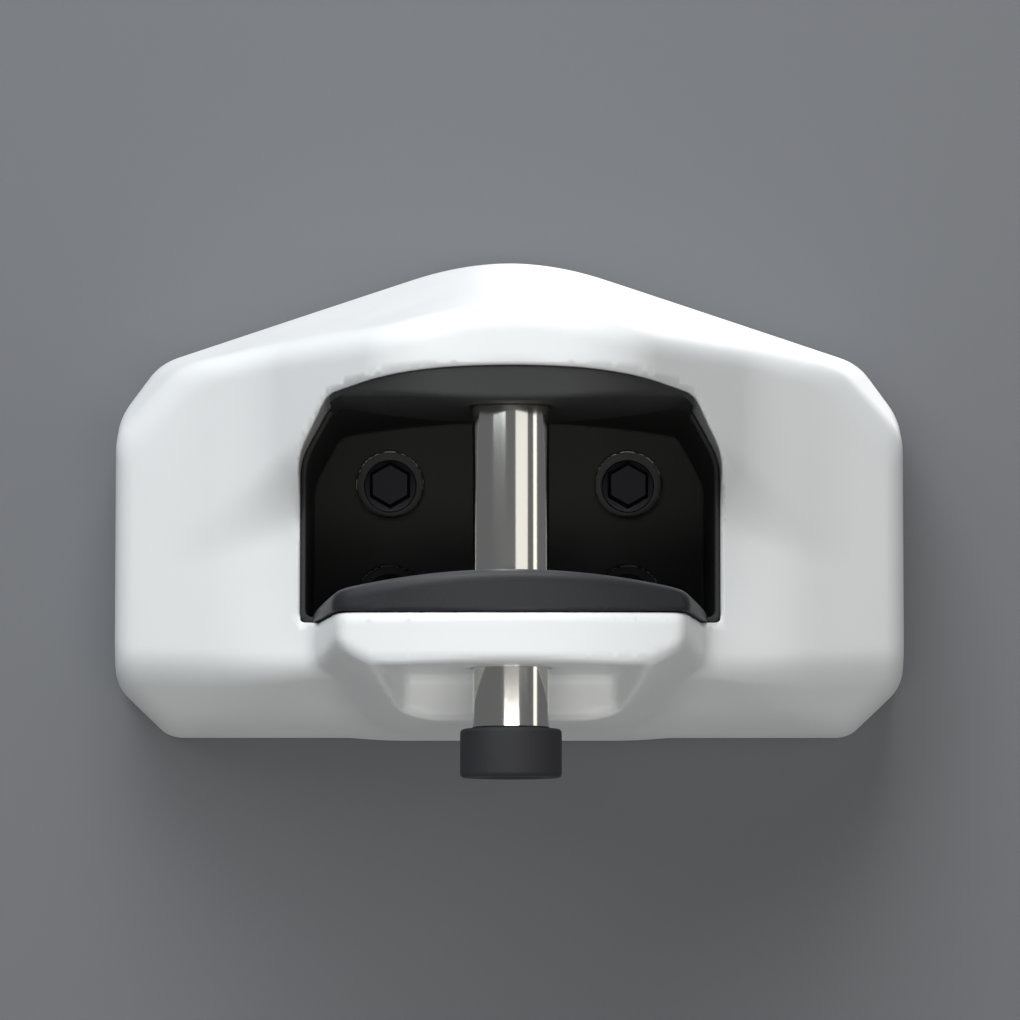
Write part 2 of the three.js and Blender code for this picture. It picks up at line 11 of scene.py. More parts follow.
import bmesh
import bpy
import numpy as np
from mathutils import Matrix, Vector


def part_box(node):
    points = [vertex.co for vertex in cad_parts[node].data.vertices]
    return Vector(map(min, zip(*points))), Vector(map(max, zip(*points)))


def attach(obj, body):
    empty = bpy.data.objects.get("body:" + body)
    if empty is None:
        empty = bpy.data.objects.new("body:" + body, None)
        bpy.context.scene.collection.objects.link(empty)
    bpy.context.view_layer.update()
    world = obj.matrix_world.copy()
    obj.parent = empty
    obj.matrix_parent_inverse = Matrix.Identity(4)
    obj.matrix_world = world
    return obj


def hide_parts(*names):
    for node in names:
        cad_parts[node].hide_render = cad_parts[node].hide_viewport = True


bl_info = {
    "name": "Bicycle Wall Rack",
    "version": (1, 0, 0),
    "blender": (4, 5, 0),
    "location": "3D View > Sidebar > Wall Rack",
    "description": "Makes a locking wall rack for one bicycle around its packed frame",
    "category": "Add Mesh",
}

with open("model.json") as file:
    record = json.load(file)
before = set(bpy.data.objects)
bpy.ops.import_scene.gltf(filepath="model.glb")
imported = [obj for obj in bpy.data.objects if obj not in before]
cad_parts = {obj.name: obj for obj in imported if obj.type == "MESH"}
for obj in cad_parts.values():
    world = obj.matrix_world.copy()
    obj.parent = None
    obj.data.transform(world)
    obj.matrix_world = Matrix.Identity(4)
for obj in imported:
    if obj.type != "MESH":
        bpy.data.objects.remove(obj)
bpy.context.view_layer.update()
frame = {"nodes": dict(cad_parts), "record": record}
MM = 0.001

# ---- Sizes, in millimetres; a depth is a distance from the wall ----


def box_of(node):
    return np.array(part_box(node)) / MM


COVER_LOW, COVER_HIGH = box_of("cover_shell")
LINER_LOW, LINER_HIGH = box_of("hood_liner")
TRAY_LOW, TRAY_HIGH = box_of("cavity_liner")
PAD_LOW, PAD_HIGH = box_of("cradle_pad")
PIN_LOW, PIN_HIGH = box_of("pin_tube")
NOSE_LOW, NOSE_HIGH = box_of("pin_nose")
CAP_LOW, CAP_HIGH = box_of("lock_cap")

HALF_WIDTH = COVER_HIGH[0]
TOP = COVER_HIGH[2]
KEEL_BOTTOM = COVER_LOW[2]
NOSE_DEPTH = -COVER_LOW[1]
BOTTOM = KEEL_BOTTOM + 1
CROWN_HALF = 19
SHOULDER = (HALF_WIDTH - 16.5, TOP - 43)
SIDE_TOP = SHOULDER[1] - 22.5
SIDE_BOTTOM = BOTTOM + 20
CORNER_X = HALF_WIDTH - 20.5
RIM_DEPTH = 30
WING_ROOT = (84, 124)
WING_BEND = (105, 114)
SIDE_DEPTH = 60
SIDE_END = (HALF_WIDTH - 13, 70, 50)
HOOD_CORNER = (47, 212)
HOOD_CURVE = 900
HOOD_SOFTNESS = 20
LIP_CORNER = (69.5, 198)
LIP_CURVE = 268
LIP_SOFTNESS = 6
ROOF_FALL = 0.222
HOOD_FLANK_END = (104, 116)
LIP_FLANK_END = (75, 166)
LIP_ROOT = (80, 118)
HOOD_UNDER = 40.4
FAIRING_Z = 5
LIP_BOTTOM = -62
KEEL_HALF = 42
KEEL_DEPTH = 150
KEEL_BACK_HALF = 75
OPENING_HALF = 84
ARCH_TOP = 52.4
ARCH_DROP = 6
ARCH_HALF = 70
ARCH_CORNER = 72
ARCH_END = 24
FLOOR = -43
FLOOR_RISE = 2
POCKET_FRONT_HALF = 55
RECESS_BACK = 12
ROOT_GAP = 0.5
SEAM = 0.3

LINER_BOTTOM = 39
LINER_THINNING = 0.94
LINER_SET_BACK = 2
TRAY_WALL = 2

PAD_MARGIN = 0.2
PAD_ROUNDING = 5
PAD_FALL = 5.6
PAD_FALL_HALF = 61
RIDGE_SETBACK = 11
VALLEY_SETBACK = 62
VALLEY_DROP = 5.7

SCREW_X = 125
SCREW_HEIGHTS = (35, -40)
BOSS_R = 6.5
PILOT_R = 2.6
PILOT_DEPTH = 30
BOLT_X = 50
BOLT_HEIGHTS = (24, -24)
BOLT_ACCESS_R = 14

PIN_DEPTH = -(PIN_LOW[1] + PIN_HIGH[1]) / 2
PIN_R = (PIN_HIGH[0] - PIN_LOW[0]) / 2
PIN_BORE_R = 10.3
PIN_HOLE_TOP = -50
COLLAR_SEAT_R = PIN_R + 3
COLLAR_SEAT_HALF = 6
SOCKET_R = 23.5
SOCKET_LIFT = 2
SOCKET_HALF = 4
BALL_Z = -52.5
BALL_HOLE_R = 3.8
NOSE_CHAMFER = (3.2, 3)
CAP_MOUTH = (2.2, 1.2)
CAP_ROUNDING = 2.0

WASHER_RING = [(5.3, 5.3), (5.3, 4.3), (11, 4.3), (11, 6.3), (5.3, 6.3), (5.3, 5.3)]
BOLT_SHANK = [(0, 0.5), (4.9, 0.5), (4.9, 6.9)]
BOLT_HEAD_BACK = 6.7
BOLT_HEAD_R = 9.7
BOLT_HEAD_FACE_R = 8.3
BOLT_HEAD_CHAMFER = 1.0
SCREW_HEAD = [(0, 1.6), (1.5, 1.6), (1.9, 0.5), (4.6, 0.5), (4.6, 1.2)]
SCREW_SHANK = [(2.2, 3.2), (2.2, 22.5), (0.8, 24), (0, 24)]

# ---- The stage, in metres and watts ----

STAGE_REACH = 6.0
BACKDROP_GAP = 0.001
LIGHT_AIM = (0, -0.1, 0)
LIGHTS = (
    ("key_above", (-0.35, -1.75, 1.95), (1.9, 1.3), 36, (0.99, 0.995, 1.0)),
    ("sky_above", (-0.25, -0.55, 2.2), (2.2, 1.5), 40, (0.95, 0.98, 1.0)),
    ("cool_left", (-1.45, -2.2, 1.15), (1.8, 1.2), 19, (0.90, 0.965, 1.0)),
    ("front_streak", (1.6, -2.7, 0.33), (2.0, 0.8), 4.5, (1.0, 0.985, 0.95)),
    ("right_streak", (1.9, -0.62, 0.25), (0.45, 1.3), 2.2, (1.0, 0.97, 0.90)),
    ("low_front", (0.1, -3.2, -0.58), (2.4, 0.35), 26, (1.0, 0.975, 0.94)),
    ("behind", (0.7, 1.9, 1.1), (1.6, 1.2), 12, (1.0, 1.0, 1.0)),
)
CAMERA_AIM = (0.0, -0.1, 0.006)
SENSOR_WIDTH = 36
RACK_SHARE_OF_WIDTH = 0.78
SHARE_MEASURED_AT = 0.06


# ---- What a user would change ----


def millimetres(name, description, default, **limits):
    return bpy.props.FloatProperty(
        name=name, description=f"{description}, in millimetres", default=default, **limits
    )


def length(name, description, default):
    return bpy.props.FloatProperty(name=name, description=description, default=default, unit="LENGTH")


def colour_of(name, what, default):
    return bpy.props.FloatVectorProperty(
        name=name, description=f"Colour of the {what}", subtype="COLOR", size=3, default=default
    )


class RackCoverSettings(bpy.types.PropertyGroup):
    """The white cover and the soft mouldings."""

    wall: millimetres("Wall", "Thickness of the white moulding", 4.5, min=2.0, max=6.0)
    edge: millimetres("Edge radius", "Softness of the cover's edges", 7.0, min=1.0, max=12.0)
    fillet: millimetres("Fillet", "Softness of the hollow corners beside hood and lip", 14.0)
    cell: millimetres("Mesh cell", "Size of the cover's mesh cells", 2.55, min=1.5, max=6.0)
    fine_cell: millimetres("Fine mesh cell", "Size of the small mouldings' mesh cells", 1.1)


class RackColourSettings(bpy.types.PropertyGroup):
    """The rack's colours."""

    cover: colour_of("Cover", "white cover", (0.80, 0.815, 0.82))
    rubber: colour_of("Rubber", "rubber on the lip", (0.0105, 0.0118, 0.014))
    moulding: colour_of("Moulding", "black mouldings", (0.018, 0.019, 0.02))
    steel: colour_of("Pin", "polished steel", (0.80, 0.775, 0.72))


class RackStageSettings(bpy.types.PropertyGroup):
    """The camera and the room."""

    distance: length("Distance", "From the wall to the camera", 2.4)
    drop: length("Drop", "How far the camera is below the bolts", 0.19)
    aside: length("Aside", "How far the camera is to the left", 0.01)
    floor_drop: length("Floor", "How far the floor is below the bolts", 1.3)


# ---- Smooth solids: a field is below zero inside, and its surface is meshed ----


def soft_max(a, b, reach):
    """The larger of two fields, with the edge between them rounded over about reach."""
    blend = np.maximum(reach - np.abs(a - b), 0) / reach
    return np.maximum(a, b) + blend * blend * reach / 4


def soft_min(a, b, reach):
    """The smaller of two fields, with the hollow corner between them filled over about reach."""
    return -soft_max(-a, -b, reach)


def all_of(fields, reach):
    """Below zero only inside every field."""
    whole = fields[0]
    for field in fields[1:]:
        whole = soft_max(whole, field, reach)
    return whole


def facing(places, a, b, c, inside):
    """Distance from the plane through three places (x, depth, z), below zero on the side of inside."""
    a, b, c, inside = (np.array(place, float) for place in (a, b, c, inside))
    normal = np.cross(b - a, c - a)
    normal /= np.linalg.norm(normal)
    if normal @ (inside - a) > 0:
        normal = -normal
    return places @ normal - normal @ a


def upright_facing(places, a, b, inside):
    """The same for an upright plane that stands on the plan line from a to b, each (x, depth)."""
    return facing(places, (*a, 0), (*b, 0), (*a, 100), (*inside, 0))


def slope_facing(places, a, b, inside):
    """The same for a plane that runs along the wall through a and b, each (depth, z)."""
    return facing(places, (0, *a), (0, *b), (100, *a), (0, *inside))


def square_facing(places, a, b, inside):
    """The same for a plane that stands straight out from the wall on the line from a to b, each (x, z)."""
    (a_x, a_z), (b_x, b_z) = a, b
    return facing(places, (a_x, 0, a_z), (b_x, 0, b_z), (b_x, 100, b_z), (inside[0], 0, inside[1]))


def slopes_of(field, places, step=0.05):
    """How fast the field grows along each axis."""
    slopes = np.empty_like(places)
    for axis in range(3):
        ahead, behind = places.copy(), places.copy()
        ahead[:, axis] += step
        behind[:, axis] -= step
        slopes[:, axis] = (field(ahead) - field(behind)) / (2 * step)
    return slopes


def unit_slopes(field, places, step=0.05):
    slopes = slopes_of(field, places, step)
    return slopes / np.maximum(np.linalg.norm(slopes, axis=1), 1e-6)[:, None]


def pull_to_surface(field, places, rounds):
    """Moves each place, in a few steps, to where the field is zero."""
    for _ in range(rounds):
        slopes = slopes_of(field, places)
        square = np.maximum((slopes**2).sum(1), 0.05)
        places -= (field(places) / square)[:, None] * slopes
    return places


def surface_cells(value):
    """The cells that the surface crosses, and its faces: one round each grid edge that it crosses."""
    inside = value < 0
    counts = np.array(inside.shape)
    corners = [
        inside[i : counts[0] - 1 + i, j : counts[1] - 1 + j, k : counts[2] - 1 + k].astype(np.int8)
        for i in (0, 1)
        for j in (0, 1)
        for k in (0, 1)
    ]
    total = sum(corners)
    active = (total > 0) & (total < 8)
    index = np.full(active.shape, -1)
    index[active] = np.arange(active.sum())
    faces = []
    for axis in range(3):
        one, two = (axis + 1) % 3, (axis + 2) % 3
        near = np.take(inside, range(counts[axis] - 1), axis)
        far = np.take(inside, range(1, counts[axis]), axis)
        where = np.argwhere(near != far)
        for other in (one, two):
            where = where[(where[:, other] > 0) & (where[:, other] < counts[other] - 1)]
        ring = []
        for back_one, back_two in ((1, 1), (0, 1), (0, 0), (1, 0)):
            cell = where.copy()
            cell[:, one] -= back_one
            cell[:, two] -= back_two
            ring.append(index[tuple(cell.T)])
        face = np.stack(ring, 1)
        turned_round = ~near[tuple(where.T)]
        face[turned_round] = face[turned_round][:, ::-1]
        faces.append(face)
    return np.argwhere(active), np.concatenate(faces)


def relaxed(places, faces):
    """Each place moved to the middle of its neighbours."""
    total = np.zeros_like(places)
    count = np.zeros(len(places))
    for side in range(4):
        start, end = faces[:, side], faces[:, (side + 1) % 4]
        for here, there in ((start, end), (end, start)):
            np.add.at(total, here, places[there])
            np.add.at(count, here, 1)
    return total / np.maximum(count, 1)[:, None]


def on_sharp_edges(faces, normals, least_turn):
    """The places whose faces turn by more than least_turn, in degrees."""
    sharp = np.zeros(len(normals), bool)
    for one, other in ((0, 1), (1, 2), (2, 3), (3, 0), (0, 2), (1, 3)):
        turn = (normals[faces[:, one]] * normals[faces[:, other]]).sum(1)
        sharp[faces[turn < math.cos(math.radians(least_turn))].ravel()] = True
    return np.flatnonzero(sharp)


def drawn_to_edges(field, places, reach):
    """Each place moved to where the surfaces within reach of it meet, which keeps straight edges straight."""
    corners = [(i, j, k) for i in (-1, 1) for j in (-1, 1) for k in (-1, 1)]
    square = np.repeat(np.eye(3)[None] * 0.05, len(places), 0)
    pull = np.zeros_like(places)
    for corner in corners:
        near = pull_to_surface(field, places + np.array(corner) * reach, 2)
        normal = unit_slopes(field, near)
        offset = ((near - places) * normal).sum(1)
        weight = (np.linalg.norm(near - places, axis=1) < reach * 2.2).astype(float)
        square += weight[:, None, None] * normal[:, :, None] * normal[:, None, :]
        pull += (weight * offset)[:, None] * normal
    move = np.linalg.solve(square, pull[:, :, None])[:, :, 0]
    length = np.linalg.norm(move, axis=1)
    limit = reach * 1.6
    return places + move * np.minimum(1, limit / np.maximum(length, 1e-6))[:, None]


def meshed(name, shape, low, high, cell):
    """An object whose surface is where shape(x, depth, z) is zero, all in millimetres."""

    def field(places):
        return shape(np.stack([np.abs(places[:, 0]), -places[:, 1], places[:, 2]], 1))

    low = np.array(low, float) - 1.5 * cell
    counts = np.ceil((np.array(high, float) + 1.5 * cell - low) / cell).astype(int) + 1
    lines = [low[axis] + cell * np.arange(counts[axis]) for axis in range(3)]
    grid = np.stack(np.meshgrid(*lines, indexing="ij"), -1).reshape(-1, 3)
    cells, faces = surface_cells(field(grid).reshape(counts))
    places = pull_to_surface(field, low + cell * (cells + 0.5), 3)
    places = pull_to_surface(field, relaxed(places, faces), 3)
    normals = unit_slopes(field, places)
    sharp = on_sharp_edges(faces, normals, 30)
    places[sharp] = drawn_to_edges(field, places[sharp], cell * 0.5)
    normals = unit_slopes(field, places, 0.25)
    mesh = bpy.data.meshes.new(name)
    mesh.from_pydata((places * MM).tolist(), [], faces.tolist())
    mesh.polygons.foreach_set("use_smooth", [True] * len(mesh.polygons))
    mesh.normals_split_custom_set_from_vertices(normals.tolist())
    return linked(name, mesh)


def linked(name, mesh):
    piece = bpy.data.objects.new(name, mesh)
    bpy.context.scene.collection.objects.link(piece)
    return piece


def finish_piece(piece, body, slot, finish, *replaced):
    """Gives a finished piece its body and its material, and hides the frame's nodes that it stands for; slot
    is not used.
    """
    piece.data.materials.clear()
    piece.data.materials.append(finish)
    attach(piece, body)
    if replaced:
        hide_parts(*replaced)
    return piece


# ---- The cover's shape ----


def curved_front(places, curve, corner, flank_end, softness):
    """A front that bows out to NOSE_DEPTH in the middle and turns back at its corner."""
    bowed = places[:, 1] - (NOSE_DEPTH - places[:, 0] ** 2 / curve)
    return soft_max(bowed, upright_facing(places, corner, flank_end, (0, 0)), softness)


def hood_front(places):
    return curved_front(places, HOOD_CURVE, HOOD_CORNER, HOOD_FLANK_END, HOOD_SOFTNESS)


def lip_front(places):
    return curved_front(places, LIP_CURVE, LIP_CORNER, LIP_FLANK_END, LIP_SOFTNESS)


def hood_underside(places):
    return slope_facing(places, (HOOD_CORNER[1], HOOD_UNDER), (HOOD_FLANK_END[1], FAIRING_Z), (60, 90))


def outline(places, edge):
    """The cover seen from the front, with the roof that falls away from the wall and from the crown."""
    x, z = places[:, 0], places[:, 2]
    front_middle = (0, 0)
    middle = (0, 50, 0)
    crown = (CROWN_HALF, RIM_DEPTH, TOP)
    shoulder = (SHOULDER[0], RIM_DEPTH, SHOULDER[1])
    side_top = (HALF_WIDTH, RIM_DEPTH, SIDE_TOP)
    far_top = TOP - ROOF_FALL * (NOSE_DEPTH - RIM_DEPTH)
    crown_top = soft_max(z - TOP, square_facing(places, (CROWN_HALF, TOP), SHOULDER, front_middle), edge)
    falling = soft_max(
        slope_facing(places, (RIM_DEPTH, TOP), (NOSE_DEPTH, far_top), (50, 0)),
        facing(places, crown, shoulder, (CROWN_HALF, NOSE_DEPTH, far_top), middle),
        edge,
    )
    sides = all_of(
        [
            x - HALF_WIDTH,
            square_facing(places, SHOULDER, (HALF_WIDTH, SIDE_TOP), front_middle),
            facing(places, shoulder, side_top, SIDE_END, middle),
            square_facing(places, (HALF_WIDTH, SIDE_BOTTOM), (CORNER_X, BOTTOM), front_middle),
            BOTTOM - z,
        ],
        edge * 0.6,
    )
    return all_of([crown_top, falling, sides], edge * 0.6)


def upper_cover(places, edge, fillet):
    """The wings and the hood, which fades into them."""
    middle = (0, 50, 0)
    wing_front = soft_max(
        upright_facing(places, WING_ROOT, WING_BEND, (0, 0)),
        upright_facing(places, WING_BEND, (HALF_WIDTH, SIDE_DEPTH), (0, 0)),
        edge,
    )
    rim_corner = (CORNER_X, RIM_DEPTH, BOTTOM)
    side_corner = (HALF_WIDTH, SIDE_DEPTH, SIDE_BOTTOM + 5)
    foot = soft_max(
        slope_facing(places, (RIM_DEPTH, BOTTOM), (WING_ROOT[1], SIDE_BOTTOM), (50, 0)),
        facing(places, rim_corner, (*WING_BEND, SIDE_BOTTOM), side_corner, middle),
        edge,
    )
    wing = soft_max(wing_front, foot, edge * 1.2)
    hood = soft_max(hood_front(places), hood_underside(places), edge * 2)
    return soft_max(soft_min(wing, hood, fillet), outline(places, edge), edge * 1.3)


def lip(places, edge):
    """The lip and the keel below it."""
    middle = (0, 60, -60)
    keel = (KEEL_HALF, KEEL_DEPTH, KEEL_BOTTOM)
    corner = (*LIP_CORNER, LIP_BOTTOM)
    flank_end = (*LIP_FLANK_END, LIP_BOTTOM)
    root = (*LIP_ROOT, LIP_BOTTOM)
    sides = soft_max(lip_front(places), upright_facing(places, LIP_FLANK_END, LIP_ROOT, (0, 0)), edge)
    below = all_of(
        [
            slope_facing(places, (NOSE_DEPTH, LIP_BOTTOM), (KEEL_DEPTH, KEEL_BOTTOM), (50, 0)),
            facing(places, corner, flank_end, keel, middle),
            facing(places, flank_end, root, keel, middle),
            facing(places, root, (KEEL_BACK_HALF, RIM_DEPTH, BOTTOM), keel, middle),
            KEEL_BOTTOM - places[:, 2],
        ],
        edge,
    )
    top = places[:, 2] - (FLOOR + FLOOR_RISE)
    return all_of([sides, below, top], edge * 0.6)


def envelope(places, edge, fillet):
    """The whole outside of the cover, with the crown eased over the middle."""
    eased = places.copy()
    eased[:, 0] = np.hypot(places[:, 0], CROWN_HALF / 2)
    whole = soft_min(upper_cover(eased, edge, fillet), lip(eased, edge), fillet * 0.4)
    return soft_max(whole, KEEL_BOTTOM - places[:, 2], 2)


def arch_at(x):
    """Height of the opening's arch."""
    return ARCH_TOP - ARCH_DROP * (x / ARCH_HALF) ** 2


def opening_outline(places):
    """The opening seen from the front, below zero inside it."""
    x, z = places[:, 0], places[:, 2]
    corner = square_facing(places, (ARCH_CORNER, arch_at(ARCH_CORNER)), (OPENING_HALF, ARCH_END), (0, 0))
    above = all_of([z - arch_at(x), corner, x - OPENING_HALF], 3)
    return soft_max(above, FLOOR + FLOOR_RISE * (x / OPENING_HALF) ** 2 - z, 3)


def opening(places):
    """The space between the hood and the lip, below zero inside it."""
    return np.maximum(opening_outline(places), RECESS_BACK - places[:, 1])


def pocket(places):
    """The pocket under the lip, round the pin."""
    x, depth, z = places.T
    spread = (POCKET_FRONT_HALF - KEEL_HALF) / (NOSE_DEPTH - KEEL_DEPTH)
    side = x - (KEEL_HALF + (depth - KEEL_DEPTH) * spread)
    return all_of([side, KEEL_DEPTH - depth, z - (LIP_BOTTOM - 1)], 3)


def bar(places, radius, x=0.0, depth=None, z=None):
    """An endless round bar: upright if it has a depth, and pointing out of the wall if it has a z."""
    across = places[:, 0] - x
    other = places[:, 1] - depth if z is None else places[:, 2] - z
    return np.hypot(across, other) - radius


def bolt_access(places, past):
    """The holes round the wall bolts, through the recess's back and a little past it."""
    return [
        np.maximum(bar(places, BOLT_ACCESS_R, BOLT_X, z=z), places[:, 1] - RECESS_BACK - past)
        for z in BOLT_HEIGHTS
    ]


def cover_shape(settings):
    edge, wall = settings.edge, settings.wall

    def shape(places):
        depth, z = places[:, 1], places[:, 2]
        outer = envelope(places, edge, settings.fillet)
        room, recess = opening(places), pocket(places)
        hollow = all_of([outer + wall, wall - room, wall - recess], 1.5)
        bosses = np.minimum.reduce([bar(places, BOSS_R, SCREW_X, z=height) for height in SCREW_HEIGHTS])
        pilots = np.minimum.reduce([bar(places, PILOT_R, SCREW_X, z=height) for height in SCREW_HEIGHTS])
        hollow = soft_max(hollow, -bosses, 2)
        shell = soft_max(soft_max(outer, -room, 1.6), -recess, 2.5)
        shell = soft_max(shell, -hollow, 1)
        shell = np.maximum(shell, -np.maximum(pilots, depth - PILOT_DEPTH))
        shell = np.maximum(shell, ROOT_GAP - depth)
        for access in bolt_access(places, 1):
            shell = np.maximum(shell, -access)
        pin_hole = soft_max(bar(places, PIN_R + SEAM + ROOT_GAP, depth=PIN_DEPTH), z - PIN_HOLE_TOP, 1)
        seat = np.maximum(bar(places, COLLAR_SEAT_R, depth=PIN_DEPTH), np.abs(z - FLOOR) - COLLAR_SEAT_HALF)
        above = np.abs(z - ARCH_TOP - SOCKET_LIFT) - SOCKET_HALF
        socket = np.maximum(bar(places, SOCKET_R, depth=PIN_DEPTH), above)
        return all_of([shell, -pin_hole, -seat, -socket], 0.6)

    return shape


def liner_shape(places):
    """The black moulding under the hood, with thin strips down the opening's sides."""
    x, depth, z = places.T
    thickness = ARCH_TOP - LINER_BOTTOM
    under = arch_at(x) - SEAM - thickness * (1 - LINER_THINNING * (x / ARCH_HALF) ** 2) - z
    inside = opening_outline(places) + SEAM
    front = hood_front(places)
    band = all_of([front + LINER_SET_BACK, under, x - ARCH_HALF], 2.5)
    behind_edge = soft_max(front, hood_underside(places), 4) + LINER_SET_BACK
    strip = all_of([-inside - TRAY_WALL, behind_edge], 0.6)
    body = all_of([np.minimum(band, strip), inside, WING_ROOT[1] - depth], 0.5)
    return soft_max(body, -bar(places, PIN_R + ROOT_GAP, depth=PIN_DEPTH), 2.5)


def tray_shape(places):
    """The black tray that lines the recess behind the bicycle's tube."""
    outer = opening(places) + SEAM
    tray = all_of([outer, -outer - TRAY_WALL, places[:, 1] - WING_ROOT[1] + SEAM], 0.8)
    for access in bolt_access(places, 2 * TRAY_WALL):
        tray = soft_max(tray, -access, 0.8)
    return tray


def pad_shape(places):
    """The rubber on the lip, with a ridge along the front edge and a valley for the bicycle's tube."""
    x, depth, z = places.T
    front = lip_front(places) + PAD_MARGIN
    flank = upright_facing(places, LIP_FLANK_END, LIP_ROOT, (0, 0)) + PAD_MARGIN
    sides = soft_max(front, flank, PAD_ROUNDING)
    crown = PAD_HIGH[2] - PAD_FALL * (x / PAD_FALL_HALF) ** 2
    behind = np.clip((-front - RIDGE_SETBACK) / (VALLEY_SETBACK - RIDGE_SETBACK), 0, 1.5)
    valley = crown - VALLEY_DROP * np.sin(behind * math.pi / 2) ** 2
    floor = FLOOR + FLOOR_RISE * (x / OPENING_HALF) ** 2 + SEAM
    body = soft_max(z - valley, sides, PAD_ROUNDING)
    body = all_of([body, floor - z, WING_ROOT[1] + SEAM - depth, x - LIP_ROOT[0]], 0.8)
    return soft_max(body, -bar(places, PIN_R + ROOT_GAP, depth=PIN_DEPTH), 2)


# ---- Turned pieces ----


def rounded(outline, radius, steps=6):
    """The outline's inner corners as arcs; its first and last places stay."""
    places = [Vector(place) for place in outline]
    result = [places[0]]
    for before, corner, after in zip(places, places[1:], places[2:]):
        back, ahead = before - corner, after - corner
        reach = min(radius, back.length * 0.45, ahead.length * 0.45)
        start, end = corner + back.normalized() * reach, corner + ahead.normalized() * reach
        for step in range(steps + 1):
            part = step / steps
            result.append(start.lerp(corner, part).lerp(corner.lerp(end, part), part))
    result.append(places[-1])
    return result


def about_the_pin(radius, z, turn):
    return radius * math.cos(turn), radius * math.sin(turn) - PIN_DEPTH, z


def about_a_bolt(radius, depth, turn):
    """Round the line that points out of the wall at the origin."""
    return radius * math.cos(turn), -depth, radius * math.sin(turn)


def new_ring(work, placing, radius, along, sides, first=0.0):
    """A ring of corners, or one corner where the radius is nothing."""
    count = 1 if radius < 1e-6 else sides
    turns = [2 * math.pi * index / sides + first for index in range(count)]
    return [work.verts.new([part * MM for part in placing(radius, along, turn)]) for turn in turns]


def skinned(work, rings, sides):
    """Faces between each ring and the next."""
    made = []
    for lower, upper in zip(rings, rings[1:]):
        for index in range(sides):
            ahead = (index + 1) % sides
            face = [lower[index % len(lower)], lower[ahead % len(lower)]]
            face += [upper[ahead % len(upper)], upper[index % len(upper)]]
            corners = list(dict.fromkeys(face))
            if len(corners) > 2:
                made.append(work.faces.new(corners))
    return made


def turned(name, outline, placing, sides):
    """A mesh turned from a closed outline of (radius, place along the axis); ends on the axis close there."""
    work = bmesh.new()
    rings = [new_ring(work, placing, radius, along, sides) for radius, along in outline]
    skinned(work, rings, sides)
    bmesh.ops.remove_doubles(work, verts=work.verts, dist=1e-7)
    bmesh.ops.recalc_face_normals(work, faces=work.faces)
    mesh = bpy.data.meshes.new(name)
    work.to_mesh(mesh)
    work.free()
    return shaded(linked(name, mesh))


def shaded(piece, angle=35):
    """Smooth shading that stays crisp at edges sharper than angle, in degrees."""
    mesh = piece.data
    mesh.polygons.foreach_set("use_smooth", [True] * len(mesh.polygons))
    mesh.set_sharp_from_angle(angle=math.radians(angle))
    return piece


def cut_by(piece, tool):
    """Cuts tool out of piece and deletes tool."""
    modifier = piece.modifiers.new("cut", "BOOLEAN")
    modifier.operation = "DIFFERENCE"
    modifier.solver = "EXACT"
    modifier.object = tool
    apply_modifiers(piece)
    bpy.data.objects.remove(tool)


def apply_modifiers(piece):
    bpy.context.view_layer.update()
    evaluated = piece.evaluated_get(bpy.context.evaluated_depsgraph_get())
    mesh = bpy.data.meshes.new_from_object(evaluated)
    piece.modifiers.clear()
    piece.data = mesh


# ---- Nodes, and copies on the corners of a rectangle ----


def fed(tree, kind, **feeds):
    """A new node whose named inputs are linked to a socket or set to a value."""
    node = tree.nodes.new(kind)
    for label, feed in feeds.items():
        feed_input(tree, node.inputs[label.replace("_", " ")], feed)
    return node


def feed_input(tree, socket, feed):
    if isinstance(feed, bpy.types.NodeSocket):
        tree.links.new(feed, socket)
    else:
        socket.default_value = feed


def rectangle_tree():
    """A tree that puts a copy of the piece on each corner of an upright rectangle."""
    tree = bpy.data.node_groups.new("copies_on_a_rectangle", "GeometryNodeTree")
    inputs = (("Geometry", "Geometry"), ("Across", "Float"), ("Height", "Float"), ("Middle", "Vector"))
    for label, kind in (*inputs, ("Finish", "Material")):
        tree.interface.new_socket(label, in_out="INPUT", socket_type=f"NodeSocket{kind}")
    tree.interface.new_socket("Geometry", in_out="OUTPUT", socket_type="NodeSocketGeometry")
    given = tree.nodes.new("NodeGroupInput").outputs
    grid = fed(
        tree, "GeometryNodeMeshGrid",
        Vertices_X=2, Vertices_Y=2, Size_X=given["Across"], Size_Y=given["Height"],
    )
    stand = fed(
        tree, "GeometryNodeTransform",
        Rotation=(math.pi / 2, 0, 0), Geometry=grid.outputs["Mesh"], Translation=given["Middle"],
    )
    copies = fed(
        tree, "GeometryNodeInstanceOnPoints", Points=stand.outputs["Geometry"], Instance=given["Geometry"]
    )
    real = fed(tree, "GeometryNodeRealizeInstances", Geometry=copies.outputs["Instances"])
    coat = fed(
        tree, "GeometryNodeSetMaterial", Geometry=real.outputs["Geometry"], Material=given["Finish"]
    )
    fed(tree, "NodeGroupOutput", Geometry=coat.outputs["Geometry"])
    return tree


def copy_on_rectangle(piece, across, height, middle, finish):
    """Turns piece, made round the origin, into four copies of itself on the corners of a rectangle."""
    tree = bpy.data.node_groups.get("copies_on_a_rectangle") or rectangle_tree()
    modifier = piece.modifiers.new("copies", "NODES")
    modifier.node_group = tree
    names = {item.name: item.identifier for item in tree.interface.items_tree if item.in_out == "INPUT"}
    values = {"Across": across * MM, "Height": height * MM, "Middle": [part * MM for part in middle]}
    for label, value in {**values, "Finish": finish}.items():
        modifier[names[label]] = value
    apply_modifiers(piece)
    return piece


# ---- Shader groups ----


